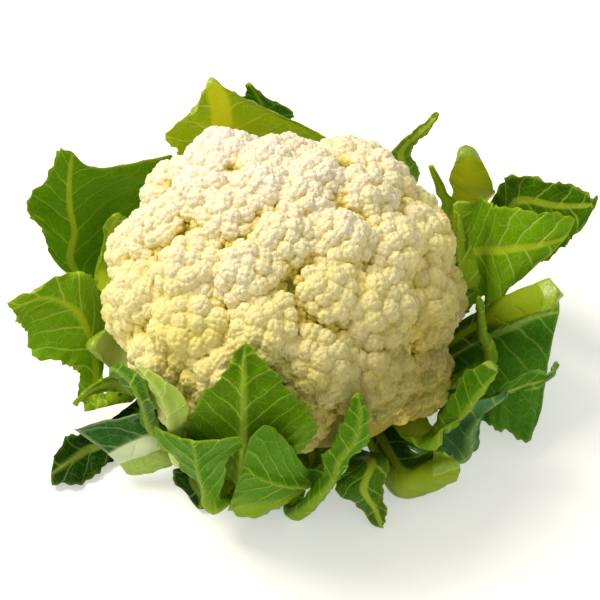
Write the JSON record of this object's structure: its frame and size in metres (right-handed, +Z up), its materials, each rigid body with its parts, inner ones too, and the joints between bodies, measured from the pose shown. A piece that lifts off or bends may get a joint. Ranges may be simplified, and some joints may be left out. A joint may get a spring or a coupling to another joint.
{
  "type": "cauliflower",
  "caption": "Whole trimmed cauliflower: a domed cream curd of florets on a cut stalk, in a rosette of torn and cut green wrapper leaves.",
  "frame": {"origin": "middle of the stalk's cut face, which the head stands on", "axes": "+Z up through the curd, -Y towards the front of the picture, +X to its right"},
  "size_m": [0.2876, 0.2224, 0.1475],
  "materials": {
    "curd": "matte, moist",
    "stalk": "smooth, waxy",
    "leaf": "satin, waxy",
    "leaf_light": "satin, waxy",
    "leaf_rib": "smooth, cut"
  },
  "bodies": {
    "root": {"curd": "curd", "stalk": "stalk", "leaf_front_upright": "leaf_light", "leaf_front_cup": "leaf_light", "leaf_front_fold": "leaf_light", "leaf_front_right": "leaf_light", "leaf_right_pointed": "leaf", "leaf_right_scoop": "leaf_rib", "leaf_right_curled": "leaf_light", "leaf_right_long": "leaf", "leaf_right_spike": "leaf_light", "leaf_right_petiole": "leaf_light", "leaf_right_broad": "leaf", "leaf_right_folded": "leaf_light", "leaf_right_rear": "leaf", "leaf_right_upper_stub": "leaf_rib", "leaf_right_inner_stub": "leaf_rib", "leaf_right_strip": "leaf_rib", "leaf_rear_thin": "leaf_light", "leaf_rear_dark": "leaf", "leaf_rear_cut": "leaf", "leaf_left_tall": "leaf", "leaf_left_curl": "leaf_rib", "leaf_left_pale_stub": "leaf_rib", "leaf_left_broad": "leaf", "leaf_left_strip": "leaf_light", "leaf_left_pale_point": "leaf_light", "leaf_left_twisted": "leaf", "leaf_left_low_cut": "leaf_rib", "leaf_left_low_dark": "leaf", "leaf_front_low_dark": "leaf"}
  },
  "joints": []
}
